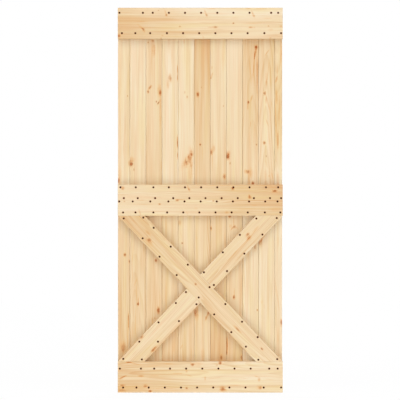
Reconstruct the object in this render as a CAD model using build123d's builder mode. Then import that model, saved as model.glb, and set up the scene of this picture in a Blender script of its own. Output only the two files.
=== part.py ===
# Sliding barn-door leaf of solid pine: two tiers of tongued and grooved planks, held by three
# rails and an X of braces that are screwed on from the front.
# Frame: the origin is the centre of the top rail's front face, where the track hangers bolt on.
# +X is to the right seen from the front, +Y goes back into the leaf, +Z is up. Millimetres.

import os
from math import asin, atan2, hypot, sin

from build123d import *

# Leaf
door_width = 900
door_height = 2100

# Planks: whole ones of one width, between two that are sawn down
whole_planks = 9
first_plank_width = 65
last_plank_width = 41
plank_setback = 2  # the rails run this far past the last plank
plank_thickness = 18
joint_gap = 1  # open joint between neighbouring planks
butt_gap = 1  # between the upper and the lower planks, behind the middle rail
vee = 1.5  # chamfer of a plank's front arrises, so that each joint shows a small V
back_arris = 0.8
tongue_length = 7
tongue_thickness = 6
tongue_side_clearance = 0.2
tongue_tip_clearance = 1
tongue_taper = 1  # chamfer that leads the tongue into its groove

# Rails and braces
rail_width = 170
rail_thickness = 22
brace_width = 107
arris_radius = 1.5

# Seats for the countersunk screw heads. There are many of them, so each has few sides.
head_diameter = 10
shank_diameter = 5
seat_sides = 12

# Screw rows of the rails. Each row gives its distance below the rail's top edge, then where the
# screw sits in each plank, as a share of that plank's width: the first planks, every plank
# between, and the last two.
top_rail_rows = (
    (28, (0.14, 0.82), 0.43, (0.77, 0.44)),
    (139, (0.35, 0.35, 0.27), 0.31, (0.35, 0.83)),
)
middle_rail_rows = (
    (15, (0.23, 0.38, 0.47), 0.43, (0.45, 0.44)),
    (74, (0.51, 0.50, 0.58), 0.70, (0.70, 0.83)),
    (92, (0.12, 0.19, 0.28), 0.40, (0.40, 0.35)),
    (152, (0.45, 0.36, 0.47), 0.32, (0.38, 0.73)),
)
bottom_rail_rows = (
    (39, (0.18, 0.70, 0.52), 0.50, (0.65, 0.37)),
    (142, (0.45, 0.42), 0.18, (0.31, 0.83)),
)

# Screw rows of the braces, one beside each long edge. Each screw gives how far down the braced
# field it sits, as a share of the field's height, and its distance in from that edge.
long_brace_upper_row = (
    (0.013, 13), (0.083, 10), (0.212, 13), (0.336, 13), (0.490, 11),
    (0.606, 12), (0.727, 12), (0.833, 8), (0.984, 13),
)
long_brace_lower_row = (
    (0.018, 14), (0.155, 14), (0.281, 12), (0.407, 11), (0.561, 14),
    (0.677, 12), (0.799, 13), (0.898, 17), (0.988, 17),
)
upper_half_left_row = ((0.019, 13), (0.131, 9), (0.251, 7), (0.388, 7))
upper_half_right_row = ((0.016, 15), (0.129, 10), (0.260, 10), (0.380, 13), (0.475, 13))
lower_half_left_row = ((0.524, 10), (0.599, 11), (0.732, 15), (0.864, 11), (0.982, 12))
lower_half_right_row = ((0.607, 10), (0.723, 16), (0.864, 22), (0.986, 19))

# Heights and depths
top_edge = rail_width / 2
bottom_edge = top_edge - door_height
middle_height = top_edge - door_height / 2
plank_centre_y = rail_thickness + plank_thickness / 2

# Edges of the planks, from left to right
left_edge = -door_width / 2
right_edge = door_width / 2
last_edge = right_edge - plank_setback
first_seam = left_edge + first_plank_width
last_seam = last_edge - last_plank_width
whole_plank_width = (last_seam - first_seam) / whole_planks
whole_seams = [first_seam + i * whole_plank_width for i in range(whole_planks + 1)]
seams = [left_edge, *whole_seams, last_edge]

# The field between the middle and bottom rails. The braces run from corner to corner of it, so
# their slope follows from the field's size and the width of the board.
field_top = middle_height - rail_width / 2
field_bottom = bottom_edge + rail_width
field_height = field_top - field_bottom
brace_slope = atan2(field_height, door_width) + asin(brace_width / hypot(door_width, field_height))
brace_cut = brace_width / sin(brace_slope)

# A tongue crosses the open joint first, so the groove is shallower than the tongue is long
groove_depth = tongue_length - joint_gap + tongue_tip_clearance
groove_width = tongue_thickness + 2 * tongue_side_clearance

# A screw head tapers at 45 degrees, from its rim down to the shank
seat_depth = (head_diameter - shank_diameter) / 2


def export(part, name):
    part.label = name
    export_step(part, f"parts/{name}.step")


def sink_seats(places):
    """Cuts a screw seat into the front face of the board in hand, at each place."""
    with Locations(*places):
        add(seat.part, mode=Mode.SUBTRACT)


def rail_places(rail_top, rows):
    """One screw for each plank in each row."""
    spans = list(zip(seams, seams[1:]))
    for drop, first, between, last in rows:
        shares = [*first, *[between] * (len(spans) - len(first) - len(last)), *last]
        for (left, right), share in zip(spans, shares):
            yield (left + share * (right - left), 0, rail_top - drop)


def brace_places(edge_x, side, row):
    """Screws beside a brace's long edge. edge_x gives that edge's x at a share of the way down
    the field, and side is +1 where the brace lies to the right of the edge, or -1."""
    for share, inset in row:
        x = edge_x(share) + side * inset / sin(brace_slope)
        yield (x, 0, field_top - share * field_height)


def long_left_x(share):
    return left_edge + share * (door_width - brace_cut)


def long_right_x(share):
    return long_left_x(share) + brace_cut


def cross_left_x(share):
    return -long_right_x(share)


def cross_right_x(share):
    return -long_left_x(share)


def brace_outline(left_x, right_x, mode=Mode.ADD):
    """A board between two long edges, sawn level where it meets the rails."""
    Polygon(
        (left_x(0), field_top),
        (right_x(0), field_top),
        (right_x(1), field_bottom),
        (left_x(1), field_bottom),
        align=None,
        mode=mode,
    )


def front_edges(part):
    return part.faces().sort_by(Axis.Y)[0].edges()


os.makedirs("parts", exist_ok=True)

# Cutter for one screw seat: its taper starts at the front plane, and the rest stands in front of it
with BuildPart() as seat:
    with BuildSketch(Plane.XZ):
        RegularPolygon(head_diameter / 2, seat_sides, major_radius=False)
    extrude(amount=seat_depth, both=True)
    chamfer(seat.faces().sort_by(Axis.Y)[-1].edges(), seat_depth)

# Planks
tiers = {
    "upper": (middle_height + butt_gap / 2, top_edge),
    "lower": (bottom_edge, middle_height - butt_gap / 2),
}
for tier, (foot, head) in tiers.items():
    for number, (left, right) in enumerate(zip(seams, seams[1:]), start=1):
        grooved = left > left_edge
        tongued = right < last_edge
        left_face = left + joint_gap / 2 if grooved else left
        right_face = right - joint_gap / 2 if tongued else right
        with BuildPart() as plank:
            with BuildSketch(Plane.XY.offset(foot)):
                with Locations(((left_face + right_face) / 2, plank_centre_y)):
                    Rectangle(right_face - left_face, plank_thickness)
                if grooved:
                    with Locations((left_face, plank_centre_y)):
                        Rectangle(
                            groove_depth,
                            groove_width,
                            align=(Align.MIN, Align.CENTER),
                            mode=Mode.SUBTRACT,
                        )
            extrude(amount=head - foot)
            long_edges = plank.edges().filter_by(Axis.Z).group_by(Axis.Y)
            chamfer(long_edges[0], vee)
            chamfer(long_edges[-1], back_arris)
            if tongued:
                with BuildSketch(Plane.XY.offset(foot)) as tongue:
                    with Locations((right_face, plank_centre_y)):
                        Rectangle(tongue_length, tongue_thickness, align=(Align.MIN, Align.CENTER))
                    chamfer(tongue.vertices().group_by(Axis.X)[-1], tongue_taper)
                extrude(amount=head - foot)
        export(plank.part, f"{tier}_plank_{number:02d}")

# Rails
rails = {
    "top_rail": (top_edge, top_rail_rows),
    "middle_rail": (middle_height + rail_width / 2, middle_rail_rows),
    "bottom_rail": (field_bottom, bottom_rail_rows),
}
for name, (rail_top, rows) in rails.items():
    with BuildPart() as rail:
        with BuildSketch(Plane.XZ):
            with Locations((0, rail_top - rail_width / 2)):
                Rectangle(door_width, rail_width)
        extrude(amount=-rail_thickness)
        fillet(front_edges(rail), arris_radius)
        sink_seats(rail_places(rail_top, rows))
    export(rail.part, name)

# The brace that runs right through, from the upper left corner to the lower right one
with BuildPart() as long_brace:
    with BuildSketch(Plane.XZ):
        brace_outline(long_left_x, long_right_x)
    extrude(amount=-rail_thickness)
    fillet(front_edges(long_brace).filter_by(Axis.X, reverse=True), arris_radius)
    sink_seats(
        [
            *brace_places(long_right_x, -1, long_brace_upper_row),
            *brace_places(long_left_x, 1, long_brace_lower_row),
        ]
    )
export(long_brace.part, "long_brace")

# The other brace is two boards that butt against the long one
halves = {
    "upper_half_brace": (-1, upper_half_left_row, upper_half_right_row),
    "lower_half_brace": (0, lower_half_left_row, lower_half_right_row),
}
for name, (place, left_row, right_row) in halves.items():
    with BuildPart() as half:
        with BuildSketch(Plane.XZ) as outlines:
            brace_outline(cross_left_x, cross_right_x)
            brace_outline(long_left_x, long_right_x, mode=Mode.SUBTRACT)
        extrude(outlines.sketch.faces().sort_by(Axis.Z)[place], amount=-rail_thickness)
        fillet(front_edges(half).sort_by(SortBy.LENGTH)[-2:], arris_radius)
        sink_seats(
            [
                *brace_places(cross_left_x, 1, left_row),
                *brace_places(cross_right_x, -1, right_row),
            ]
        )
    export(half.part, name)
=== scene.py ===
import math
import random

import bmesh
import bpy
from mathutils import Matrix, Vector


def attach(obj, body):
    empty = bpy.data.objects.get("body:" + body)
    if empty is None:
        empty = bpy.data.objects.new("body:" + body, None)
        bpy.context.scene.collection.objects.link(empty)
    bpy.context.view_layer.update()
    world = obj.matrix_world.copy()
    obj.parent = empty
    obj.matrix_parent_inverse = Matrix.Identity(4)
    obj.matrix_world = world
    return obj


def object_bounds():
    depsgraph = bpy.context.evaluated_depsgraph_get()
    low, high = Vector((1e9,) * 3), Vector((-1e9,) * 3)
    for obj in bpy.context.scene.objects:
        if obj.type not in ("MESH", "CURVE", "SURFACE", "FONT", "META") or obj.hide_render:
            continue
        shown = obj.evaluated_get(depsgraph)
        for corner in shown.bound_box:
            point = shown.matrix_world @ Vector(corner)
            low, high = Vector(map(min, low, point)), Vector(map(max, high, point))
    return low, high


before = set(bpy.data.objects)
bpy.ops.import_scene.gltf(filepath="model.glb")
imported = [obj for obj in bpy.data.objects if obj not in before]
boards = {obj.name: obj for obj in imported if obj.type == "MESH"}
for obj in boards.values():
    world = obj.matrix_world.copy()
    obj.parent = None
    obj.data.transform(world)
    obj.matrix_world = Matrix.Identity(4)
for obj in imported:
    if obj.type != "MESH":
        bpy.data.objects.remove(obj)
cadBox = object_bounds()
leafLow, leafHigh = cadBox
mm = 0.001
print("frame loaded:", len(boards), "boards")


def linear(hexCode):  # sRGB hex to linear
    parts = [int(hexCode[i:i + 2], 16) / 255 for i in (1, 3, 5)]
    return [p / 12.92 if p <= 0.04045 else ((p + 0.055) / 1.055) ** 2.4 for p in parts]


def addNode(tree, kind, settings=None, links=None):  # links take a value, a socket or a node
    node = tree.nodes.new(kind)
    for name, value in (settings or {}).items():
        setattr(node, name, value)
    for name, value in (links or {}).items():
        if isinstance(value, bpy.types.Node):
            value = value.outputs[0]
        if isinstance(value, bpy.types.NodeSocket):
            tree.links.new(value, node.inputs[name])
        else:
            node.inputs[name].default_value = value
    return node


def setRamp(node, stops, interpolation="LINEAR"):  # a stop is a place, then a hex colour or a grey level
    ramp = node.color_ramp
    ramp.interpolation = interpolation
    while len(ramp.elements) < len(stops):
        ramp.elements.new(0.5)
    for element, (place, tone) in zip(ramp.elements, stops):
        element.position = place
        element.color = (*(linear(tone) if isinstance(tone, str) else (tone,) * 3), 1)
    return node


def newGroup(name, vectors, floats, outputs):
    tree = bpy.data.node_groups.new(name, "ShaderNodeTree")
    inputs = {**dict.fromkeys(vectors, "Vector"), **dict.fromkeys(floats, "Float")}
    for direction, sockets in (("INPUT", inputs), ("OUTPUT", outputs)):
        for socketName, kind in sockets.items():
            tree.interface.new_socket(socketName, in_out=direction, socket_type="NodeSocket" + kind)
    return tree, addNode(tree, "NodeGroupInput").outputs


def newMaterial(name):
    material = bpy.data.materials.new(name)
    material.use_nodes = True
    material.node_tree.nodes.clear()
    return material, material.node_tree


def newObject(name, mesh):
    data = bpy.data.meshes.new(name)
    mesh.to_mesh(data)
    mesh.free()
    made = bpy.data.objects.new(name, data)
    bpy.context.scene.collection.objects.link(made)
    return made


# A knot is a branch sawn across: dark rings inside a darker rim, with the grain bent round it
# and a stain of resin that runs along the grain in threads.
knotLook = {
    "wobbleSize": 9,  # mm
    "wobble": 0.7,
    "detail": 2,  # of the wobble and of the threads
    "coreEdge": (1.15, 0.6),  # of the knot's radius, from its outline to solid knot
    "ringsInKnot": 3.2,
    "ringShade": 0.16,
    "rimEdge": (0.45, 0.9),  # of the knot's radius, from the paler heart to the rim
    "rimShade": (0.3, 0.9),
    "stainReach": (0.45, 0, 0.36),  # less is further
    "stainEdge": (1, 0.25),  # of that reach, from clean wood to full stain
    "stainWobble": 0.6,
    "threadSize": (3.5, 3.5, 60),  # mm
    "threadLevels": (0.3, 0.7),
    "threadStain": (0.5, 1.2),
    "bend": 1.1,  # of the knot's radius
    "bendFrom": 0.3,  # a fainter core leaves the grain straight
    "streakSpread": 1.4,  # a bare streak fades out at this share of its half width and half length
    "depth": 1e6,  # mm, so a knot goes right through its board
}


def buildKnotGroup():
    tree, given = newGroup("pineKnot", ("point", "place", "size"), ("lean", "uneven", "threads"),
                           dict.fromkeys(("core", "shade", "stain", "bend"), "Float"))
    away = addNode(tree, "ShaderNodeVectorMath", {"operation": "SUBTRACT"},
                   {0: given["point"], 1: given["place"]})
    along = addNode(tree, "ShaderNodeSeparateXYZ", None, {0: away}).outputs["Z"]
    slip = addNode(tree, "ShaderNodeMath", {"operation": "MULTIPLY"}, {0: along, 1: given["lean"]})
    slipped = addNode(tree, "ShaderNodeCombineXYZ", None, {"X": slip})
    leant = addNode(tree, "ShaderNodeVectorMath", {"operation": "SUBTRACT"}, {0: away, 1: slipped})
    scaled = addNode(tree, "ShaderNodeVectorMath", {"operation": "DIVIDE"}, {0: leant, 1: given["size"]})
    reach = addNode(tree, "ShaderNodeVectorMath", {"operation": "LENGTH"}, {0: scaled}).outputs["Value"]
    distance = addNode(tree, "ShaderNodeMath", {"operation": "ADD"}, {0: reach, 1: given["uneven"]})
    outline, solid = knotLook["coreEdge"]
    core = addNode(tree, "ShaderNodeMapRange", {"interpolation_type": "SMOOTHSTEP"},
                   {"Value": distance, "From Min": outline, "From Max": solid})

    # rings, darker towards the rim
    turns = addNode(tree, "ShaderNodeMath", {"operation": "MULTIPLY"},
                    {0: distance, 1: knotLook["ringsInKnot"] * math.tau})
    wave = addNode(tree, "ShaderNodeMath", {"operation": "COSINE"}, {0: turns})
    heart, edge = knotLook["rimEdge"]
    heartShade, edgeShade = knotLook["rimShade"]
    rim = addNode(tree, "ShaderNodeMapRange", {"interpolation_type": "SMOOTHSTEP"},
                  {"Value": distance, "From Min": heart, "From Max": edge,
                   "To Min": heartShade, "To Max": edgeShade})
    shade = addNode(tree, "ShaderNodeMath", {"operation": "MULTIPLY_ADD", "use_clamp": True},
                    {0: wave, 1: knotLook["ringShade"], 2: rim})

    # the stain, and how far it pushes the rings of the board aside
    wide = addNode(tree, "ShaderNodeVectorMath", {"operation": "MULTIPLY"},
                   {0: scaled, 1: knotLook["stainReach"]})
    wideReach = addNode(tree, "ShaderNodeVectorMath", {"operation": "LENGTH"}, {0: wide}).outputs["Value"]
    wideUneven = addNode(tree, "ShaderNodeMath", {"operation": "MULTIPLY_ADD"},
                         {0: given["uneven"], 1: knotLook["stainWobble"], 2: wideReach})
    clean, full = knotLook["stainEdge"]
    spread = addNode(tree, "ShaderNodeMapRange", {"interpolation_type": "SMOOTHSTEP"},
                     {"Value": wideUneven, "From Min": clean, "From Max": full})
    stain = addNode(tree, "ShaderNodeMath", {"operation": "MULTIPLY"}, {0: spread, 1: given["threads"]})
    radius = addNode(tree, "ShaderNodeSeparateXYZ", None, {0: given["size"]}).outputs["X"]
    smooth = addNode(tree, "ShaderNodeMapRange", {"interpolation_type": "SMOOTHERSTEP"},
                     {"Value": wideReach, "From Min": 1, "From Max": 0, "To Max": knotLook["bend"]})
    bend = addNode(tree, "ShaderNodeMath", {"operation": "MULTIPLY"}, {0: smooth, 1: radius})
    addNode(tree, "NodeGroupOutput", None, {"core": core, "shade": shade, "stain": stain, "bend": bend})
    return tree


# Pine, planed and left unfinished: cream early wood with thin tan lines of late wood, which run
# straight where the saw met the rings on edge and close into arches where it met them flat.
# The surface is dull and softly furrowed along the fibres.
pineLook = {
    "wander": (16, 16, 0),  # mm that the rings stray
    "wanderSize": (75, 75, 620),  # mm, across and along the grain
    "ripple": 0.6,  # mm
    "rippleSize": (14, 14, 260),
    "bandSize": (22, 22, 520),
    "streakSize": (9, 9, 230),
    "veinSize": (22, 22, 1100),
    "fibreSize": (1.1, 1.1, 45),  # mm, twice as coarse as real fibre so that it shows
    "tintSize": (30, 30, 400),
    "noiseDetails": {"wander": 1, "ripple": 1, "band": 1, "streak": 3, "vein": 1, "fibre": 2,
                     "tint": 2},
    "lateRise": (0.3, 0.9),  # of a ring's width
    "lateFall": (1, 0.92),
    "poorYear": 0.35,  # late wood of the faintest ring, beside 1 for the strongest
    "veinEdge": (0.045, 0.01),
    "baseTone": 0.12,
    "warmTone": 0.34,  # between the palest and the warmest board
    "lateTone": 0.24,
    "bandTone": 0.4,
    "streakTone": 0.26,
    "veinTone": 0.09,
    "fibreTone": 0.1,
    "paleTone": 0.5,  # of a paler patch, with less resin, save two in the fifth lower plank that are partly painted light
    "resin": 1.1,
    "endTone": 0.2,
    "tones": ((0, "#f9e9cd"), (0.25, "#f4dcb6"), (0.5, "#e9c798"), (0.75, "#dfad78"), (1, "#cd8c58")),
    "tints": ((0.3, "#fff9f5"), (0.5, "#ffffff"), (0.7, "#fffff4")),
    "resinTones": ((0.2, "#ecb670"), (0.6, "#de9954"), (1, "#c9783c")),
    "knotTones": ((0, "#c46e35"), (0.5, "#aa5520"), (1, "#7a3910")),
    "screwRingTone": "#b25c12",
    "edgeShade": "#dcd6d0",  # painted shade: long sides darker than the face, deepening the shade beside rails, braces and seams
    "roughness": 0.62,
    "smootherBy": 0.14,  # late wood and knots
    "fibreHeight": 0.7,  # beside 1 for late wood
    "relief": 0.12 * mm,
    "reliefStrength": 0.6,
    "ior": 1.5,
    "specular": 0.2,
}


def buildPineGroup():
    tree, given = newGroup("planedPine", ("point", "seed", "pith"),
                           ("taper", "ringWidth", "contrast", "figure", "warmth", "bend", "stain", "core",
                            "shade", "screwRing", "endGrain", "paintedSideShade"),
                           {"colour": "Color", "roughness": "Float", "height": "Float"})
    own = addNode(tree, "ShaderNodeVectorMath", {"operation": "ADD"}, {0: given["point"], 1: given["seed"]})

    noises = {}
    for name, detail in pineLook["noiseDetails"].items():
        cell = addNode(tree, "ShaderNodeVectorMath", {"operation": "DIVIDE"},
                       {0: own, 1: pineLook[name + "Size"]})
        noises[name] = addNode(tree, "ShaderNodeTexNoise", None,
                               {"Vector": cell, "Scale": 1, "Detail": detail})

    # distance from the pith, which leans by the taper of the trunk
    centred = addNode(tree, "ShaderNodeVectorMath", {"operation": "SUBTRACT"},
                      {0: noises["wander"].outputs["Color"], 1: (0.5, 0.5, 0.5)})
    stray = addNode(tree, "ShaderNodeVectorMath", {"operation": "MULTIPLY"},
                    {0: centred, 1: [2 * w for w in pineLook["wander"]]})
    strayed = addNode(tree, "ShaderNodeVectorMath", {"operation": "ADD"}, {0: given["point"], 1: stray})
    fromPith = addNode(tree, "ShaderNodeVectorMath", {"operation": "SUBTRACT"},
                       {0: strayed, 1: given["pith"]})
    axes = addNode(tree, "ShaderNodeSeparateXYZ", None, {0: fromPith}).outputs
    depth = addNode(tree, "ShaderNodeMath", {"operation": "MULTIPLY_ADD"},
                    {0: axes["Z"], 1: given["taper"], 2: axes["Y"]})
    section = addNode(tree, "ShaderNodeCombineXYZ", None, {"X": axes["X"], "Y": depth})
    radius = addNode(tree, "ShaderNodeVectorMath", {"operation": "LENGTH"}, {0: section}).outputs["Value"]
    bent = addNode(tree, "ShaderNodeMath", {"operation": "ADD"}, {0: radius, 1: given["bend"]})
    rippled = addNode(tree, "ShaderNodeMath", {"operation": "MULTIPLY_ADD"},
                      {0: noises["ripple"], 1: 2 * pineLook["ripple"], 2: bent})

    # each ring darkens slowly to its late wood, then the next one starts pale
    ring = addNode(tree, "ShaderNodeMath", {"operation": "DIVIDE"}, {0: rippled, 1: given["ringWidth"]})
    share = addNode(tree, "ShaderNodeMath", {"operation": "FRACT"}, {0: ring})
    number = addNode(tree, "ShaderNodeMath", {"operation": "FLOOR"}, {0: ring})
    year = addNode(tree, "ShaderNodeTexWhiteNoise", {"noise_dimensions": "1D"}, {"W": number})
    rise, fall = (addNode(tree, "ShaderNodeMapRange", {"interpolation_type": "SMOOTHSTEP"},
                          {"Value": share, "From Min": start, "From Max": end})
                  for start, end in (pineLook["lateRise"], pineLook["lateFall"]))
    line = addNode(tree, "ShaderNodeMath", {"operation": "MULTIPLY"}, {0: rise, 1: fall})
    vigour = addNode(tree, "ShaderNodeMapRange", None,
                     {"Value": year, "To Min": pineLook["poorYear"], "To Max": 1})
    lateWood = addNode(tree, "ShaderNodeMath", {"operation": "MULTIPLY"}, {0: line, 1: vigour})
    contrasted = addNode(tree, "ShaderNodeMath", {"operation": "MULTIPLY"},
                         {0: lateWood, 1: given["contrast"]})

    # thin dark lines where one noise crosses its middle, which run the length of the board
    offMiddle = addNode(tree, "ShaderNodeMath", {"operation": "SUBTRACT"}, {0: noises["vein"], 1: 0.5})
    offLine = addNode(tree, "ShaderNodeMath", {"operation": "ABSOLUTE"}, {0: offMiddle})
    veinSide, veinMiddle = pineLook["veinEdge"]
    vein = addNode(tree, "ShaderNodeMapRange", {"interpolation_type": "SMOOTHSTEP"},
                   {"Value": offLine, "From Min": veinSide, "From Max": veinMiddle})

    # one tone from all of them, from the palest cream to tan
    tone = addNode(tree, "ShaderNodeMath", {"operation": "MULTIPLY_ADD"},
                   {0: given["warmth"], 1: pineLook["warmTone"], 2: pineLook["baseTone"]})
    figured = addNode(tree, "ShaderNodeMath", {"operation": "MULTIPLY"}, {0: vein, 1: pineLook["veinTone"]})
    for part in ("band", "streak", "fibre"):
        level = addNode(tree, "ShaderNodeMath", {"operation": "SUBTRACT"}, {0: noises[part], 1: 0.5})
        figured = addNode(tree, "ShaderNodeMath", {"operation": "MULTIPLY_ADD"},
                          {0: level, 1: pineLook[part + "Tone"], 2: figured})
    tone = addNode(tree, "ShaderNodeMath", {"operation": "MULTIPLY_ADD"},
                   {0: figured, 1: given["figure"], 2: tone})
    paleness = addNode(tree, "ShaderNodeMath", {"operation": "MINIMUM"}, {0: given["stain"], 1: 0.0})
    for part, strength in ((contrasted, "lateTone"), (paleness, "paleTone"), (given["endGrain"], "endTone")):
        tone = addNode(tree, "ShaderNodeMath", {"operation": "MULTIPLY_ADD"},
                       {0: part, 1: pineLook[strength], 2: tone})
    soaked = addNode(tree, "ShaderNodeMath", {"operation": "MULTIPLY", "use_clamp": True},
                     {0: given["stain"], 1: pineLook["resin"]})
    wood, tint, resin, knotWood = (
        setRamp(addNode(tree, "ShaderNodeValToRGB", None, {"Fac": level}), pineLook[tones])
        for level, tones in ((tone, "tones"), (noises["tint"], "tints"), (soaked, "resinTones"),
                             (given["shade"], "knotTones")))

    # tint, resin, knots, a dark ring round each screw head and painted shade on the sides, laid over the
    # wood in turn
    screwRing, shadeColour = ((*linear(pineLook[key]), 1) for key in ("screwRingTone", "edgeShade"))
    colour = wood.outputs[0]
    for blend, amount, layer in (("MULTIPLY", 1, tint), ("MIX", soaked, resin),
                                 ("MIX", given["core"], knotWood), ("MIX", given["screwRing"], screwRing),
                                 ("MULTIPLY", given["paintedSideShade"], shadeColour)):
        colour = addNode(tree, "ShaderNodeMix", {"data_type": "RGBA", "blend_type": blend},
                         {0: amount, 6: colour, 7: layer}).outputs[2]

    # late wood and knots are planed smoother than early wood, and stand a little proud of it
    smoother = addNode(tree, "ShaderNodeMath", {"operation": "MAXIMUM"}, {0: contrasted, 1: given["core"]})
    roughness = addNode(tree, "ShaderNodeMapRange", None,
                        {"Value": smoother, "To Min": pineLook["roughness"],
                         "To Max": pineLook["roughness"] - pineLook["smootherBy"]})
    height = addNode(tree, "ShaderNodeMath", {"operation": "MULTIPLY_ADD"},
                     {0: noises["fibre"], 1: pineLook["fibreHeight"], 2: contrasted})
    addNode(tree, "NodeGroupOutput", None, {"colour": colour, "roughness": roughness, "height": height})
    return tree


pineKnot = buildKnotGroup()
planedPine = buildPineGroup()
print("pine built")


# Screws: countersunk heads that sit in the seats of the rails and braces
screw = {
    "headRadius": 4.95 * mm,
    "proud": 0.25 * mm,
    "topInset": 0.5 * mm,  # a slope leads from the flat top out to the rim
    "lipInset": 0.05 * mm,
    "crown": 0.15 * mm,  # the rim starts this far below the top
    "edge": 0.35 * mm,  # and meets the taper this far below it
    "taperDepth": 2.1 * mm,  # below the board's face, and how much narrower the head is there
    "sides": 28,
    "slotReach": 2.6 * mm,  # the cross
    "slotHalf": 0.55 * mm,
    "slotDepth": 1.5 * mm,
    "slotFoot": 0.45,  # of its size at the top
    "turnSeed": 5,
    "seatFloor": 2.5 * mm,  # below the board's face
    "seatSlack": 0.02 * mm,
    "seatReach": 6 * mm,  # wider than the floor of one seat
    "screwRing": (5.1, 6.5),  # mm from the centre, where a dark brown ring round each head is full and where it fades out
    "boards": ("top_rail", "middle_rail", "bottom_rail",
               "long_brace", "upper_half_brace", "lower_half_brace"),
}

# Steel, dip-coated brown and baked: dull and dark, with a faint mottle where the coat pooled
coatLook = {
    "tones": ((0.35, "#2c1204"), (0.75, "#4a2208")),
    "grain": 1.6 * mm,
    "detail": 3,
    "roughness": (0.6, 0.78),
    "relief": 0.05 * mm,
    "reliefStrength": 0.3,
    "specular": 0.1,
}


def dipCoatedSteel():
    material, tree = newMaterial("dipCoatedSteel")
    place = addNode(tree, "ShaderNodeTexCoord").outputs["Object"]
    mottle = addNode(tree, "ShaderNodeTexNoise", None,
                     {"Vector": place, "Scale": 1 / coatLook["grain"], "Detail": coatLook["detail"]})
    colour = setRamp(addNode(tree, "ShaderNodeValToRGB", None, {"Fac": mottle}), coatLook["tones"])
    low, high = coatLook["roughness"]
    roughness = addNode(tree, "ShaderNodeMapRange", None, {"Value": mottle, "To Min": low, "To Max": high})
    bump = addNode(tree, "ShaderNodeBump", None,
                   {"Height": mottle, "Strength": coatLook["reliefStrength"],
                    "Distance": coatLook["relief"]})
    shader = addNode(tree, "ShaderNodeBsdfPrincipled", None,
                     {"Base Color": colour, "Roughness": roughness, "Normal": bump,
                      "Specular IOR Level": coatLook["specular"]})
    addNode(tree, "ShaderNodeOutputMaterial", None, {"Surface": shader})
    return material


def seatCentres(name):  # a seat's corners lie close together, at one depth
    groups = []
    for vertex in boards[name].data.vertices:
        if abs(vertex.co.y - screw["seatFloor"]) < screw["seatSlack"]:
            near = [group for group in groups if (group[0] - vertex.co).length < screw["seatReach"]]
            if not near:
                near.append([])
                groups.append(near[0])
            near[0].append(vertex.co)
    return [sum(group, Vector()) / len(group) for group in groups]


def ringOf(mesh, radius, depth):
    turns = [math.tau * i / screw["sides"] for i in range(screw["sides"])]
    return [mesh.verts.new((radius * math.cos(t), depth, radius * math.sin(t))) for t in turns]


def crossOf(mesh, scale, depth):
    reach, half = screw["slotReach"] * scale, screw["slotHalf"] * scale
    arm = [(half, half), (half, reach), (-half, reach)]
    quarters = [Matrix.Rotation(math.pi / 2 * i, 2) for i in range(4)]
    points = [quarter @ Vector(p) for quarter in quarters for p in arm]
    return [mesh.verts.new((p.x, depth, p.y)) for p in points]


def nextRound(loop):
    return loop[1:] + loop[:1]


def wall(mesh, outer, inner):
    for corners in zip(outer, nextRound(outer), nextRound(inner), inner):
        mesh.faces.new(corners)


def headMesh():  # one head about the origin, front towards -y
    mesh = bmesh.new()
    radius, front = screw["headRadius"], -screw["proud"]
    taper = ringOf(mesh, radius - screw["taperDepth"], screw["taperDepth"])
    rim = ringOf(mesh, radius, front + screw["edge"])
    lip = ringOf(mesh, radius - screw["lipInset"], front + screw["crown"])
    top = ringOf(mesh, radius - screw["topInset"], front)
    for outer, inner in ((rim, taper), (lip, rim), (top, lip)):
        wall(mesh, outer, inner)
    mesh.faces.new(taper)
    mouth = crossOf(mesh, 1, front)
    foot = crossOf(mesh, screw["slotFoot"], front + screw["slotDepth"])
    wall(mesh, mouth, foot)
    mesh.faces.new(foot)
    pairs = [pair for loop in (top, mouth) for pair in zip(loop, nextRound(loop))]
    bmesh.ops.triangle_fill(mesh, edges=[mesh.edges.get(pair) for pair in pairs], use_beauty=True)
    bmesh.ops.recalc_face_normals(mesh, faces=mesh.faces)
    data = bpy.data.meshes.new("screwHead")
    mesh.to_mesh(data)
    mesh.free()
    return data


steel = dipCoatedSteel()
head = headMesh()
turns = random.Random(screw["turnSeed"])
screwCount = 0
for name in screw["boards"]:
    joined = bmesh.new()
    for centre in seatCentres(name):
        turn = Matrix.Rotation(turns.uniform(0, math.pi), 4, "Y")
        moved = head.copy()
        moved.transform(Matrix.Translation((centre.x, 0, centre.z)) @ turn)
        joined.from_mesh(moved)
        bpy.data.meshes.remove(moved)
        screwCount += 1
    piece = newObject(name + "_screws", joined)
    piece.data.materials.append(steel)
    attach(piece, "root")
bpy.data.meshes.remove(head)
print("screws set:", screwCount)


# Boards: how one is cut from its log, where its own look doesn't say
boardLook = {
    "seeds": {"upper": 117, "lower": 108, "rails": 31, "braces": 41},
    "plankSeedStep": 5,
    "scatter": ((71, 997), (37, 991), (1301, 9973)),  # primes, so that no two boards share their noise
    "stripScatter": (900, 900, 9000),  # mm
    "stripPithStart": (-110, 15, 0),  # mm from the middle of the board
    "stripPithSpan": (220, 90, 0),
    "pithAside": (50, 150),  # mm, to the left or to the right
    "pithDepth": (20, 90),
    "taper": (-0.02, 0.02),
    "ringWidth": (3.2, 5.2),  # mm
    "endGrain": (0.5, 0.9),  # how squarely a face cuts the grain, from none to full
    # how squarely a face looks across the board, from no painted side shade to full
    "paintedSideShade": (0.7, 0.97),
}


def boardAxes(name, grain):
    turn = math.atan2(-grain.x, grain.z)  # brings the grain to z, the width to x
    rotation = Matrix.Rotation(turn, 3, "Y")
    corners = [rotation @ (vertex.co / mm) for vertex in boards[name].data.vertices]
    low, high = [Vector([pick(c[i] for c in corners) for i in range(3)]) for pick in (min, max)]
    return turn, rotation, (low + high) / 2, high - low


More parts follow.
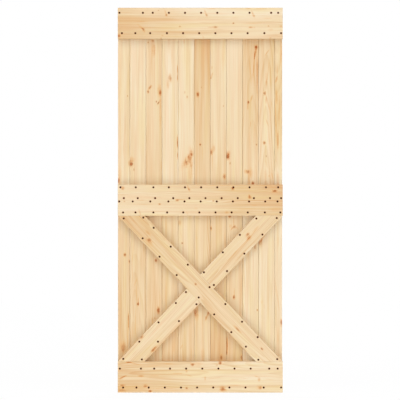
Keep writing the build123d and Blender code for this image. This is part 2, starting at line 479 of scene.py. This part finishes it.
def glueStrips(tree, across, strips, warmth, seed):  # each strip has its own tone, noise and pith
    lowest = min(strips)  # a ramp takes no level below 0
    lift = setRamp(addNode(tree, "ShaderNodeValToRGB", None, {"Fac": across}),
                   [(i / len(strips), strip - lowest) for i, strip in enumerate(strips)], "CONSTANT")
    lifted = addNode(tree, "ShaderNodeMath", {"operation": "ADD"}, {0: warmth, 1: lift})
    level = addNode(tree, "ShaderNodeMath", {"operation": "ADD"}, {0: lifted, 1: lowest})
    count = addNode(tree, "ShaderNodeMath", {"operation": "MULTIPLY"}, {0: across, 1: len(strips)})
    number = addNode(tree, "ShaderNodeMath", {"operation": "FLOOR"}, {0: count})
    shifted = addNode(tree, "ShaderNodeMath", {"operation": "ADD"}, {0: number, 1: seed})
    lot = addNode(tree, "ShaderNodeTexWhiteNoise", {"noise_dimensions": "1D"}, {"W": shifted})
    scattered = addNode(tree, "ShaderNodeVectorMath", {"operation": "MULTIPLY"},
                        {0: lot.outputs["Color"], 1: boardLook["stripScatter"]})
    pith = addNode(tree, "ShaderNodeVectorMath", {"operation": "MULTIPLY_ADD"},
                   {0: lot.outputs["Color"], 1: boardLook["stripPithSpan"], 2: boardLook["stripPithStart"]})
    return level, scattered, pith


def growKnots(tree, point, rotation, middle, knots):
    wobble = addNode(tree, "ShaderNodeTexNoise", None,
                     {"Vector": point, "Scale": 1 / knotLook["wobbleSize"], "Detail": knotLook["detail"]})
    uneven = addNode(tree, "ShaderNodeMath", {"operation": "MULTIPLY_ADD"},
                     {0: wobble, 1: knotLook["wobble"], 2: -knotLook["wobble"] / 2})
    cell = addNode(tree, "ShaderNodeVectorMath", {"operation": "DIVIDE"},
                   {0: point, 1: knotLook["threadSize"]})
    thread = addNode(tree, "ShaderNodeTexNoise", None,
                     {"Vector": cell, "Scale": 1, "Detail": knotLook["detail"]})
    fromLow, fromHigh = knotLook["threadLevels"]
    toLow, toHigh = knotLook["threadStain"]
    threads = addNode(tree, "ShaderNodeMapRange", None,
                      {"Value": thread, "From Min": fromLow, "From Max": fromHigh,
                       "To Min": toLow, "To Max": toHigh})

    rules = {"core": "MAXIMUM", "shade": "MAXIMUM", "stain": "ADD", "bend": "ADD"}
    grown = dict.fromkeys(rules, 0.0)
    for right, down, width, length, core, stain, *lean in knots:
        inLeaf = Vector((leafLow.x / mm + right, 0, leafHigh.z / mm - down))
        centre = rotation @ inLeaf - middle
        reach = (1, 0, 1) if core else [r * knotLook["streakSpread"] for r in knotLook["stainReach"]]
        size = (width / 2 * reach[0], knotLook["depth"], length / 2 * reach[2])
        knot = addNode(tree, "ShaderNodeGroup", {"node_tree": pineKnot},
                       {"point": point, "place": (centre.x, 0, centre.z), "size": size,
                        "lean": lean[0] if lean else 0.0, "uneven": uneven, "threads": threads}).outputs
        strengths = {"core": core, "shade": knot["core"], "stain": stain,
                     "bend": float(core > knotLook["bendFrom"])}
        for part, rule in rules.items():
            mask = addNode(tree, "ShaderNodeMath", {"operation": "MULTIPLY"},
                           {0: knot[part], 1: strengths[part]})
            grown[part] = addNode(tree, "ShaderNodeMath", {"operation": rule}, {0: grown[part], 1: mask})
    return grown


def screwRingOf(tree, point, rotation, middle, name):  # 0 in clear wood, 1 beside a screw head
    inner, outer = screw["screwRing"]
    inFace = addNode(tree, "ShaderNodeVectorMath", {"operation": "MULTIPLY"}, {0: point, 1: (1, 0, 1)})
    nearest = outer
    for seat in seatCentres(name):
        spot = rotation @ (seat / mm) - middle
        gone = addNode(tree, "ShaderNodeVectorMath", {"operation": "DISTANCE"},
                       {0: inFace, 1: (spot.x, 0, spot.z)}).outputs["Value"]
        nearest = addNode(tree, "ShaderNodeMath", {"operation": "MINIMUM"}, {0: gone, 1: nearest})
    return addNode(tree, "ShaderNodeMapRange", {"interpolation_type": "SMOOTHSTEP"},
                   {"Value": nearest, "From Min": outer, "From Max": inner})


def boardMaterial(name, grain, look, seed):
    turn, rotation, middle, size = boardAxes(name, grain)
    draw = random.Random(seed)
    material, tree = newMaterial("planedPine_" + name)
    place = addNode(tree, "ShaderNodeTexCoord").outputs
    point = addNode(tree, "ShaderNodeMapping", None,
                    {"Vector": place["Object"], "Location": -middle, "Rotation": (0, turn, 0),
                     "Scale": (1 / mm, 1 / mm, 1 / mm)})
    axes = addNode(tree, "ShaderNodeSeparateXYZ", None, {0: point}).outputs

    # warmth along the board, and from strip to strip where it is glued up from several
    along = addNode(tree, "ShaderNodeMapRange", None,
                    {"Value": axes["Z"], "From Min": -size.z / 2, "From Max": size.z / 2})
    gap = 1 / (len(look["warmth"]) - 1)
    warmth = setRamp(addNode(tree, "ShaderNodeValToRGB", None, {"Fac": along}),
                     [(i * gap, level) for i, level in enumerate(look["warmth"])], "EASE")
    if "strips" in look:
        across = addNode(tree, "ShaderNodeMapRange", None,
                         {"Value": axes["X"], "From Min": -size.x / 2, "From Max": size.x / 2})
        warmth, scattered, pith = glueStrips(tree, across, look["strips"], warmth, seed)
    else:
        scattered = [seed * step % span for step, span in boardLook["scatter"]]
        aside = draw.choice((-1, 1)) * draw.uniform(*boardLook["pithAside"])
        depth = draw.uniform(*boardLook["pithDepth"])
        pith = (*look.get("pith", (aside, depth)), 0)

    screwRing = screwRingOf(tree, point, rotation, middle, name) if name in screw["boards"] else 0.0
    # end grain is darker in the wood itself; the long sides get painted shade, so the shade beside them
    # comes out deeper
    endGrainAndSideShade = {}
    for part, way in (("endGrain", grain), ("paintedSideShade", Vector((grain.z, 0, -grain.x)))):
        facing = addNode(tree, "ShaderNodeVectorMath", {"operation": "DOT_PRODUCT"},
                         {0: place["Normal"], 1: way}).outputs["Value"]
        squarely = addNode(tree, "ShaderNodeMath", {"operation": "ABSOLUTE"}, {0: facing})
        start, full = boardLook[part]
        endGrainAndSideShade[part] = addNode(tree, "ShaderNodeMapRange", None,
                             {"Value": squarely, "From Min": start, "From Max": full})
    rings = {part: look.get(part, draw.uniform(*boardLook[part])) for part in ("taper", "ringWidth")}
    figure = {part: look.get(part, 1.0) for part in ("contrast", "figure")}
    grown = growKnots(tree, point, rotation, middle, look.get("knots", ()))
    pine = addNode(tree, "ShaderNodeGroup", {"node_tree": planedPine},
                   {"point": point, "seed": scattered, "pith": pith, "warmth": warmth, "screwRing": screwRing,
                    **rings, **figure, **endGrainAndSideShade, **grown}).outputs
    bump = addNode(tree, "ShaderNodeBump", None,
                   {"Height": pine["height"], "Strength": pineLook["reliefStrength"],
                    "Distance": pineLook["relief"]})
    shader = addNode(tree, "ShaderNodeBsdfPrincipled", None,
                     {"Base Color": pine["colour"], "Roughness": pine["roughness"], "Normal": bump,
                      "IOR": pineLook["ior"], "Specular IOR Level": pineLook["specular"]})
    addNode(tree, "ShaderNodeOutputMaterial", None, {"Surface": shader})
    boards[name].data.materials.clear()
    boards[name].data.materials.append(material)


# Planks, left to right. Warmth runs from head to foot of the plank, from 0 pale to 1 warm.
# A knot is right of the leaf's edge, down from its head, width, length (mm), core, stain, and how
# far it leans clockwise from the grain. One without a core is a streak of resin or late wood, and
# one with a stain below 0 is a paler patch.
upperPlanks = [
    {"warmth": (0.3, 0.22, 0.12), "figure": 1.2,
     "knots": [(52, 480, 6, 8, 0.4, 0.3), (3, 944, 9, 18, 0.3, 0.6), (8, 560, 30, 1200, 0, 0.25),
               (12, 915, 24, 110, 0, 0.2), (62, 848, 12, 36, 0, 0.6)]},
    {"warmth": (0.05, 0.15, 0.45),
     "knots": [(72, 852, 21, 21, 0.8, 0.5), (74, 828, 40, 34, 0, 0.42), (87, 882, 6, 14, 0.4, 0.3),
               (110, 660, 14, 260, 0, 0.14), (72, 260, 14, 200, 0, 0.2)]},
    {"warmth": (0.4, 0.44, 0.88),
     "knots": [(165, 187, 7, 9, 0.45, 0.3), (190, 178, 12, 10, 0.3, 0.4), (196, 222, 24, 90, 0, 0.45),
               (187, 320, 8, 230, 0, 0.22), (200, 330, 9, 260, 0, 0.25),
               (175, 434, 11, 15, 0.45, 0.6, 0.4), (165, 457, 10, 11, 0.55, 0.5),
               (232, 463, 11, 17, 0.5, 0.45), (227, 450, 24, 66, 0, 0.45), (210, 511, 7, 9, 0.5, 0.4),
               (221, 518, 8, 16, 0.6, 0.4, 0.5), (233, 560, 13, 220, 0, 0.5),
               (237, 862, 8, 60, 0, 0.35)]},
    {"warmth": (0.35, 0.05, 0.1),
     "knots": [(283, 378, 14, 22, 0.15, 0.6), (275, 414, 16, 60, 0, 0.45), (291, 394, 12, 36, 0, 0.35),
               (295, 247, 6, 130, 0, 0.3), (325, 335, 5, 60, 0, 0.75), (325, 382, 5, 40, 0, 0.95),
               (325, 735, 6, 80, 0, 1.05), (325, 736, 5, 22, 0.25, 0), (325, 806, 5, 50, 0, 0.9),
               (276, 300, 26, 200, 0, -0.25)]},
    {"warmth": (0.2, 0.1, 0.35),
     "knots": [(361, 182, 12, 30, 0, 0.3), (365, 460, 7, 10, 0.1, 0.3), (378, 485, 8, 10, 0.15, 0.35),
               (403, 800, 9, 11, 0.5, 0.3), (386, 813, 9, 12, 0.2, 0.2), (374, 842, 10, 14, 0.45, 0.3),
               (384, 824, 44, 110, 0, 0.56, 0.62), (402, 846, 20, 60, 0, 0.35),
               (377, 862, 14, 36, 0, 0.3), (394, 774, 22, 50, 0, 0.3), (396, 898, 30, 130, 0, 0.42)]},
    {"warmth": (1.45, 0.86, 0.8), "contrast": 0.5, "figure": 0.75,
     "knots": [(437, 472, 13, 17, 0.6, 0.8), (457, 433, 5, 9, 0.3, 0.3), (466, 300, 18, 420, 0, 0.18),
               (496, 300, 14, 420, 0, 0.15), (450, 746, 9, 11, 0.8, 0.5), (463, 800, 8, 90, 0, 0.22)]},
    {"warmth": (0.45, 0.2, 0.6),
     "knots": [(514, 324, 10, 20, 0, 0.35), (512, 370, 12, 40, 0, 0.5, 0.35),
               (510, 382, 7, 9, 0.2, 0.2), (510, 788, 10, 20, 0.5, 0.6), (522, 768, 22, 44, 0, 0.45),
               (575, 250, 20, 160, 0, 0.28), (517, 840, 7, 100, 0, 0.35), (577, 535, 6, 7, 0.35, 0.3),
               (582, 921, 14, 18, 0.4, 0.6)]},
    {"warmth": (0.12, 0.2, 0.4), "figure": 0.75,
     "knots": [(600, 812, 19, 21, 0.85, 0.7), (603, 790, 27, 30, 0, 0.4),
               (613, 848, 7, 16, 0.35, 0.3)]},
    {"warmth": (1.12, 0.7, 0.5), "pith": (-10, 60), "taper": 0.04, "ringWidth": 7, "contrast": 0.4,
     "knots": [(756, 213, 14, 17, 1, 0.7), (751, 245, 10, 60, 0, 1.25, 0.17),
               (743, 318, 7, 120, 0, 0.75, 0.07), (761, 372, 6, 220, 0, 0.95),
               (724, 340, 8, 150, 0, 0.45, -0.08), (713, 514, 10, 13, 0.85, 0.6),
               (731, 493, 9, 40, 0, 0.5, 0.3), (711, 537, 8, 40, 0, 0.5),
               (725, 635, 6, 50, 0, 0.4, 0.17), (720, 710, 6, 130, 0, 0.25),
               (744, 690, 7, 160, 0, 0.35, 0.03), (758, 746, 7, 8, 0.5, 0.3),
               (711, 895, 13, 14, 0.5, 0.6), (697, 892, 14, 30, 0, 0.5), (728, 902, 24, 60, 0, 0.42),
               (718, 940, 6, 70, 0, 0.5, -0.1), (738, 958, 13, 15, 0.8, 0.7)]},
    {"warmth": (1.08, 0.72, 0.36, 0.23, 0.8), "pith": (8, 55), "taper": 0.05, "ringWidth": 8,
     "contrast": 0.8,
     "knots": [(816, 242, 9, 40, 0, 0.5, 0.7), (819, 362, 7, 190, 0, 0.4, 0.11),
               (834, 385, 6, 150, 0, 0.3, 0.04), (801, 465, 12, 13, 0.5, 0.6),
               (822, 526, 7, 100, 0, 0.45, -0.22), (840, 525, 6, 60, 0, 0.35, -0.15),
               (816, 625, 7, 50, 0, 0.45, -0.3), (826, 700, 6, 110, 0, 0.3, -0.06),
               (801, 737, 12, 12, 0.5, 0.6), (812, 809, 7, 8, 0.6, 0.2),
               (812, 850, 6, 50, 0, 0.3, -0.25), (843, 915, 8, 40, 0, 0.4, -0.2),
               (826, 918, 10, 14, 0, 0.4), (806, 915, 20, 70, 0, 0.25), (811, 498, 12, 50, 0, 0.38),
               (811, 385, 14, 90, 0, 0.3)]},
    {"warmth": (0.4, 0.85, 0), "pith": (4, 50), "taper": -0.05, "ringWidth": 8, "contrast": 0.5,
     "knots": [(867, 390, 13, 40, 0, 0.7, 0.25), (872, 340, 6, 60, 0, 0.35),
               (863, 602, 9, 230, 0, 0.5, -0.03), (882, 569, 9, 220, 0, 0.55, 0.01),
               (874, 722, 12, 110, 0, 0.7), (875, 975, 14, 50, 0, 0.5), (876, 930, 18, 70, 0, 0.35),
               (868, 485, 14, 90, 0, 0.5), (892, 240, 14, 160, 0, 0.55)]},
]
lowerPlanks = [
    {"warmth": (0.45, 0.65, 1.05),
     "knots": [(38, 1349, 11, 13, 0.65, 0.6), (64, 1385, 10, 13, 0.6, 0.5), (58, 1712, 7, 100, 0, 1),
               (54, 1810, 7, 110, 0, 0.4), (30, 1857, 26, 36, 0.25, 0.55),
               (26, 1870, 10, 12, 0.3, 0.1)]},
    {"warmth": (0.6, 0.7, 0.95), "pith": (5, 60), "taper": 0.04, "ringWidth": 7, "contrast": 0.4,
     "knots": [(82, 1330, 8, 120, 0, 0.3, 0.1), (139, 1312, 11, 70, 0, 0.35),
               (79, 1430, 10, 120, 0, 0.2), (97, 1497, 7, 50, 0, 0.4, 0.35), (101, 1555, 8, 90, 0, 0.3),
               (109, 1619, 10, 12, 0.8, 0.6), (112, 1599, 7, 50, 0, 0.5), (96, 1715, 7, 150, 0, 0.4),
               (82, 1780, 8, 60, 0, 0.35)]},
    {"warmth": (0.55, 0.65, 0.8),
     "knots": [(208, 1380, 11, 16, 0.7, 0.6), (189, 1460, 12, 200, 0, 0.12),
               (229, 1610, 8, 120, 0, 0.2), (221, 1653, 13, 24, 0.7, 0.8), (201, 1695, 6, 8, 0.3, 0.3),
               (189, 1707, 14, 40, 0, 0.35), (150, 1738, 6, 60, 0, 0.45)]},
    {"warmth": (0.6, 0.75, 1.05),
     "knots": [(264, 1200, 10, 120, 0, 0.3), (264, 1580, 11, 160, 0, 0.28),
               (305, 1842, 12, 100, 0, 0.25)]},
    # The pale patch 342 right, 1520 down is painted light that lifts the shade in the corner left of where
    # the braces cross; the one 338 right, 1860 down is a paler foot, and at its head painted light that
    # lifts the shade beside the lower half brace.
    {"warmth": (0.3, 0.52, 1.0),
     "knots": [(338, 1173, 12, 18, 0.1, 0.4), (348, 1248, 6, 50, 0, 0.25, -0.2),
               (351, 1285, 8, 10, 0.6, 0.4), (348, 1851, 8, 26, 0, 0.4, 0.45),
               (403, 1889, 8, 60, 0, 0.3), (338, 1860, 22, 220, 0, -0.3),
               (342, 1520, 30, 130, 0, -0.4)]},
    {"warmth": (0.65, 0.6, 0.6),
     "knots": [(430, 1256, 14, 20, 0, 0.15), (425, 1661, 17, 25, 0.4, 0.55),
               (432, 1648, 12, 18, 0.1, 0.3), (430, 1687, 24, 48, 0, 0.42),
               (494, 1668, 10, 13, 0.5, 0.35), (486, 1688, 14, 46, 0, 0.45, 0.4),
               (482, 1694, 10, 12, 0.2, 0.2), (465, 1898, 18, 80, 0, 0.45),
               (461, 1778, 16, 240, 0, 0.15)]},
    {"warmth": (0.6, 0.9, 1.4),
     "knots": [(508, 1204, 10, 16, 0.6, 0.5), (501, 1173, 6, 10, 0.2, 0.3),
               (556, 1195, 34, 150, 0, 0.13), (583, 1268, 8, 100, 0, 0.3),
               (565, 1912, 11, 22, 0.55, 0.6)]},
    # Its warmer foot is partly painted shade, deepening the corner above the bottom rail.
    {"warmth": (0.6, 0.65, 1.05),
     "knots": [(611, 1138, 13, 15, 0.75, 0.6), (637, 1195, 12, 12, 0.45, 0.5),
               (625, 1204, 10, 26, 0, 0.55, 0.8), (616, 1193, 16, 24, 0, 0.35),
               (651, 1202, 10, 22, 0, 0.3, -0.8), (634, 1165, 8, 50, 0, 0.4),
               (634, 1581, 11, 13, 0.7, 0.6), (636, 1554, 7, 50, 0, 0.35), (597, 1840, 9, 100, 0, 0.95),
               (593, 1886, 8, 20, 0.5, 0.5), (676, 1911, 10, 24, 0.5, 0.5)]},
    {"warmth": (0.18, 0.14, 0.1),
     "knots": [(750, 1306, 13, 26, 0.3, 0.4), (711, 1345, 8, 60, 0, 0.25),
               (762, 1651, 7, 8, 0.5, 0.4)]},
    {"warmth": (0.1, 0.1, 0.35),
     "knots": [(779, 1281, 20, 30, 0.25, 0.3), (789, 1262, 14, 62, 0, 0.5, 0.65),
               (787, 1607, 14, 20, 0, 0.2), (800, 1631, 9, 24, 0, 0.18)]},
    {"warmth": (0, 0.1, 0.35),
     "knots": [(877, 1276, 10, 60, 0, 0.2), (861, 1520, 9, 110, 0, 0.28, -0.1),
               (876, 1600, 9, 160, 0, 0.28, -0.12), (894, 1720, 10, 24, 0.5, 0.7),
               (874, 1800, 8, 90, 0, 0.3)]},
]
plankGrain = Vector((0, 0, -1))
for tier, looks in (("upper", upperPlanks), ("lower", lowerPlanks)):
    for number, look in enumerate(looks, start=1):
        seed = boardLook["seeds"][tier] + boardLook["plankSeedStep"] * number
        boardMaterial(f"{tier}_plank_{number:02d}", plankGrain, look, seed)

# Rails, glued up from four strips each. Warmth runs from left to right, strips from top to bottom.
# Here a branch lay across the board's face in places, so its knot is a spike.
rails = {
    "top_rail": {
        "warmth": (0.8, 0.5, 0.27, 0.15, 0.25), "strips": (-0.3, 0.1, 0.16, 0.27),
        "knots": [(140, 119, 15, 11, 0.5, 0.5, 0.6), (124, 105, 16, 36, 0, 0.4, 0.85),
                  (144, 131, 10, 8, 0, 0.3, 1.5), (262, 29, 26, 16, 0, 0.42, 1.8),
                  (265, 40, 9, 9, 0.25, 0.4), (480, 30, 26, 18, 0, 0.42, 1.8),
                  (486, 41, 9, 9, 0.2, 0.4), (738, 36, 26, 22, 0, 0.42, 1.5),
                  (744, 44, 8, 8, 0.12, 0.2), (222, 15, 6, 8, 0.3, 0.2), (339, 103, 7, 9, 0.4, 0.4),
                  (533, 105, 9, 16, 0.4, 0.5), (510, 107, 6, 40, 0, 0.5), (631, 85, 7, 8, 0.6, 0.4),
                  (725, 107, 8, 14, 0.12, 0.5), (745, 107, 9, 12, 0, 0.4), (822, 100, 7, 8, 0.25, 0.35),
                  (834, 120, 20, 30, 0, 0.2), (890, 102, 9, 9, 0.1, 0.4), (6, 154, 13, 12, 0.6, 0.7),
                  (244, 152, 6, 9, 0.15, 0.35), (236, 167, 8, 6, 0.2, 0.4),
                  (467, 161, 14, 12, 0, 0.35, 1), (832, 165, 8, 8, 0.1, 0.35),
                  (130, 75, 5, 70, 0, 0.35), (513, 6, 6, 60, 0, 0.45), (712, 5, 6, 34, 0, 0.5),
                  (780, 6, 5, 60, 0, 0.4), (733, 86, 6, 125, 0, 0.35), (400, 114, 4, 700, 0, 0.18),
                  (369, 58, 18, 160, 0, -0.3), (820, 58, 10, 50, 0, 0.25), (60, 70, 50, 220, 0, 0.15),
                  (640, 58, 14, 50, 0, 0.15)],
    },
    "middle_rail": {
        "warmth": (0.28, 0.33, 0.42, 0.85, 1.1), "strips": (0.08, 0.1, -0.05, -0.14),
        "knots": [(27, 984, 11, 11, 0.15, 0.4), (27, 983, 26, 22, 0, 0.32),
                  (385, 983, 24, 18, 0, 0.42, 2), (390, 992, 9, 9, 0.3, 0.4),
                  (627, 985, 15, 12, 0.9, 0.5), (720, 1034, 14, 12, 0.42, 0.7),
                  (717, 1026, 26, 10, 0, 0.4), (856, 1001, 13, 18, 0.55, 0.8),
                  (324, 1051, 8, 11, 0.45, 0.5), (342, 1048, 6, 60, 0, 0.5),
                  (521, 1054, 9, 8, 0.4, 0.4), (228, 1072, 8, 9, 0.5, 0.5), (36, 1057, 6, 7, 0.25, 0.3),
                  (121, 1119, 24, 16, 0, 0.4, 2), (379, 1121, 16, 12, 0, 0.25, 1.4),
                  (595, 1116, 11, 12, 0.12, 0.4), (427, 1095, 16, 22, 0, 0.2),
                  (285, 975, 5, 155, 0, 0.35), (135, 1072, 5, 115, 0, 0.35),
                  (126, 1050, 5, 40, 0, 0.35), (745, 1078, 5, 32, 0, 0.5),
                  (700, 1101, 14, 100, 0, 0.25), (85, 990, 24, 80, 0, 0.12), (809, 972, 5, 90, 0, 0.4),
                  (809, 990, 5, 90, 0, 0.4), (840, 981, 7, 40, 0, 0.3), (560, 970, 6, 400, 0, 0.3),
                  (640, 996, 4, 300, 0, 0.25), (861, 1100, 20, 70, 0, 0.32)],
    },
    "bottom_rail": {
        "warmth": (0.85, 0.6, 0.35, 0.15, 0.1), "strips": (0, 0.08, 0.06, 0.2),
        "knots": [(57, 1935, 7, 14, 0.3, 0.3), (60, 1935, 8, 40, 0, 0.5),
                  (88, 1941, 6, 80, 0, 0.5, 0.23), (409, 1947, 12, 14, 0.5, 0.6),
                  (430, 1942, 14, 70, 0, 0.42), (559, 1938, 16, 13, 0.55, 0.7),
                  (541, 1950, 6, 8, 0.15, 0.4), (30, 2014, 10, 38, 0, 0.85, -0.38),
                  (12, 2024, 14, 36, 0, 0.4), (20, 2089, 18, 50, 0, 0.45), (126, 2009, 12, 36, 0, 0.65),
                  (198, 2008, 8, 60, 0, 0.35), (324, 1996, 9, 80, 0, 0.45),
                  (387, 2006, 6, 38, 0, 0.4, 0.3), (278, 1943, 8, 52, 0, 0.4),
                  (439, 1954, 11, 30, 0, 0.25), (375, 1983, 12, 7, 0.1, 0.4),
                  (27, 2059, 12, 36, 0, 0.6), (24, 2060, 8, 12, 0.2, 0.1),
                  (151, 2062, 13, 15, 0.15, 0.6), (177, 2093, 11, 12, 0.5, 0.7),
                  (376, 2075, 10, 10, 0.6, 0.5), (477, 2023, 26, 12, 0, 0.4),
                  (530, 2020, 5, 85, 0, 0.3, -0.15), (573, 2077, 15, 14, 0.4, 0.35),
                  (571, 2074, 34, 36, 0, 0.4), (576, 2088, 16, 50, 0, 0.5), (640, 2060, 9, 100, 0, 0.4),
                  (771, 2028, 28, 16, 0, 0.52), (757, 2012, 8, 26, 0, 0.42, 0.3),
                  (778, 2073, 12, 12, 0.3, 0.35), (773, 2072, 28, 36, 0, 0.32),
                  (265, 2076, 5, 140, 0, 0.4), (300, 2088, 5, 220, 0, 0.3),
                  (70, 2079, 40, 300, 0, 0.34), (640, 2028, 5, 60, 0, 0.3),
                  (700, 2022, 5, 50, 0, 0.25, -0.2), (830, 2028, 5, 60, 0, 0.3, 0.1),
                  (190, 1955, 6, 90, 0, 0.3, -0.1), (779, 1936, 8, 60, 0, 0.28)],
    },
}
railGrain = Vector((1, 0, 0))
for seed, (name, look) in enumerate(rails.items(), start=boardLook["seeds"]["rails"]):
    boardMaterial(name, railGrain, look, seed)

# Braces, glued up from two strips each. Warmth runs from the upper end to the lower one.
braces = {
    "long_brace": {
        "warmth": (0.9, 0.58, 0.35, 0.25), "strips": (0.12, 0.12),
        "knots": [(172, 1267, 16, 18, 0.45, 0.5), (164, 1226, 10, 24, 0.1, 0.45),
                  (171, 1285, 30, 50, 0, 0.3), (425, 1508, 9, 11, 0.6, 0.5),
                  (652, 1752, 12, 70, 0, 0.5), (654, 1756, 8, 26, 0.3, 0.15),
                  (786, 1861, 9, 16, 0.6, 0.5), (732, 1890, 24, 130, 0, -0.5),
                  (100, 1192, 24, 160, 0, -0.3)],
    },
    "upper_half_brace": {
        "warmth": (0.3, 0.4), "strips": (0.1, -0.02),
        "knots": [(709, 1236, 12, 12, 0.4, 0.4), (717, 1257, 14, 18, 0.12, 0.35),
                  (712, 1245, 32, 46, 0, 0.32), (660, 1315, 5, 260, 0, 0.4),
                  (711, 1322, 16, 90, 0, -0.35), (751, 1209, 16, 60, 0, 0.35),
                  (580, 1442, 30, 220, 0, -0.25)],
    },
    "lower_half_brace": {
        "warmth": (0.2, 0.3, 0.6), "strips": (0.1, 0.0),
        "knots": [(131, 1797, 10, 16, 0.45, 0.6), (192, 1868, 11, 16, 0.5, 0.7),
                  (206, 1854, 9, 16, 0.25, 0.5), (190, 1780, 5, 130, 0, 0.3),
                  (90, 1883, 5, 70, 0, 0.35)],
    },
}
longCorners = [vertex.co for vertex in boards["long_brace"].data.vertices]
upperEnd = min(longCorners, key=lambda corner: (-round(corner.z / mm), corner.x))  # highest, then leftmost
lowerEnd = min(longCorners, key=lambda corner: (round(corner.z / mm), corner.x))
longGrain = Vector((lowerEnd.x - upperEnd.x, 0, lowerEnd.z - upperEnd.z)).normalized()
crossGrain = Vector((-longGrain.x, 0, longGrain.z))
for seed, (name, look) in enumerate(braces.items(), start=boardLook["seeds"]["braces"]):
    boardMaterial(name, longGrain if name == "long_brace" else crossGrain, look, seed)
slope = math.degrees(math.atan2(-longGrain.z, longGrain.x))
print("boards finished, long brace at", round(slope, 2), "degrees")


# Studio: pale floor just under the leaf, white all round, one broad soft lamp from above
studio = {
    "floorGap": 10 * mm,
    "floorSize": 14,  # m
    "floorCells": 8,
    "floorTones": ((0.3, "#f2f2f2"), (0.7, "#fafafa")),
    "floorPatches": 3,  # to the width of the floor
    "floorDetail": 2,
    "whiteness": 0.95,  # share of the floor that the camera sees as plain white
    "wallStrength": 3.05,
    # brightness of the white walls, from beside the leaf to straight ahead of it
    "walls": ((0, 0.04), (0.25, 0.1), (0.42, 1), (0.6, 0.42), (0.8, 0.16), (1, 0.1)),
    "keyHeight": math.radians(52),
    "keySide": math.radians(-8),
    "keyStrength": 0.1,
    "keySoftness": math.radians(70),
}


def seenByCamera(tree):
    path = addNode(tree, "ShaderNodeLightPath").outputs
    seen = path["Is Camera Ray"]
    for ray in ("Is Glossy Ray", "Is Transmission Ray"):
        seen = addNode(tree, "ShaderNodeMath", {"operation": "MAXIMUM"}, {0: seen, 1: path[ray]}).outputs[0]
    return seen


def mattPaint():  # rolled matt white paint, faintly uneven
    material, tree = newMaterial("mattPaint")
    uneven = addNode(tree, "ShaderNodeTexNoise", None,
                     {"Scale": studio["floorPatches"], "Detail": studio["floorDetail"]})
    colour = setRamp(addNode(tree, "ShaderNodeValToRGB", None, {"Fac": uneven}), studio["floorTones"])
    paint = addNode(tree, "ShaderNodeBsdfDiffuse", None, {"Color": colour})
    glow = addNode(tree, "ShaderNodeEmission", None, {"Color": (1, 1, 1, 1), "Strength": 1})
    share = addNode(tree, "ShaderNodeMath", {"operation": "MULTIPLY"},
                    {0: seenByCamera(tree), 1: studio["whiteness"]})
    mixed = addNode(tree, "ShaderNodeMixShader", None, {0: share, 1: paint, 2: glow})
    addNode(tree, "ShaderNodeOutputMaterial", None, {"Surface": mixed})
    return material


def paleFloor():
    mesh = bmesh.new()
    bmesh.ops.create_grid(mesh, x_segments=studio["floorCells"], y_segments=studio["floorCells"],
                          size=studio["floorSize"] / 2)
    floor = newObject("floor", mesh)
    floor.location = (0, 0, leafLow.z - studio["floorGap"])
    floor.visible_diffuse = False  # it takes the shadow, and the light comes up past it
    floor.visible_shadow = False
    floor.data.materials.append(mattPaint())


def whiteWorld():
    world = bpy.data.worlds.new("studio")
    bpy.context.scene.world = world
    world.use_nodes = True
    tree = world.node_tree
    tree.nodes.clear()
    direction = addNode(tree, "ShaderNodeTexCoord").outputs["Generated"]
    forward = addNode(tree, "ShaderNodeSeparateXYZ", None, {0: direction}).outputs["Y"]
    ahead = addNode(tree, "ShaderNodeMath", {"operation": "ABSOLUTE"}, {0: forward})
    panels = setRamp(addNode(tree, "ShaderNodeValToRGB", None, {"Fac": ahead}), studio["walls"])
    walls = addNode(tree, "ShaderNodeMath", {"operation": "MULTIPLY"},
                    {0: panels, 1: studio["wallStrength"]})
    strength = addNode(tree, "ShaderNodeMix", None, {0: seenByCamera(tree), 2: walls, 3: 1.0})
    back = addNode(tree, "ShaderNodeBackground", None, {"Color": (1, 1, 1, 1), "Strength": strength})
    addNode(tree, "ShaderNodeOutputWorld", None, {"Surface": back})


def softKey():
    lamp = bpy.data.lights.new("softKey", "SUN")
    lamp.energy = studio["keyStrength"]
    lamp.angle = studio["keySoftness"]
    key = bpy.data.objects.new("softKey", lamp)
    key.rotation_euler = (math.pi / 2 - studio["keyHeight"], 0, studio["keySide"])
    bpy.context.scene.collection.objects.link(key)


paleFloor()
whiteWorld()
softKey()
print("studio lit")

# Camera: straight on, level with the middle of the leaf, as far back as the photograph's own
camera = {
    "distance": 7.8,  # m
    "viewHeight": 2182 * mm,  # what the square picture takes in at the leaf's front
    "sensor": 36,  # mm
    "aside": -1.3 * mm,
    "up": 0.9 * mm,
}
lens = bpy.data.cameras.new("camera")
lens.sensor_width = camera["sensor"]
lens.lens = camera["sensor"] * camera["distance"] / camera["viewHeight"]
eye = bpy.data.objects.new("camera", lens)
eyeHeight = (leafLow.z + leafHigh.z) / 2 + camera["up"]
eye.location = (camera["aside"], leafLow.y - camera["distance"], eyeHeight)
eye.rotation_euler = (math.pi / 2, 0, 0)
bpy.context.scene.collection.objects.link(eye)
bpy.context.scene.camera = eye
bpy.context.scene.view_settings.view_transform = "Standard"
print("camera set")
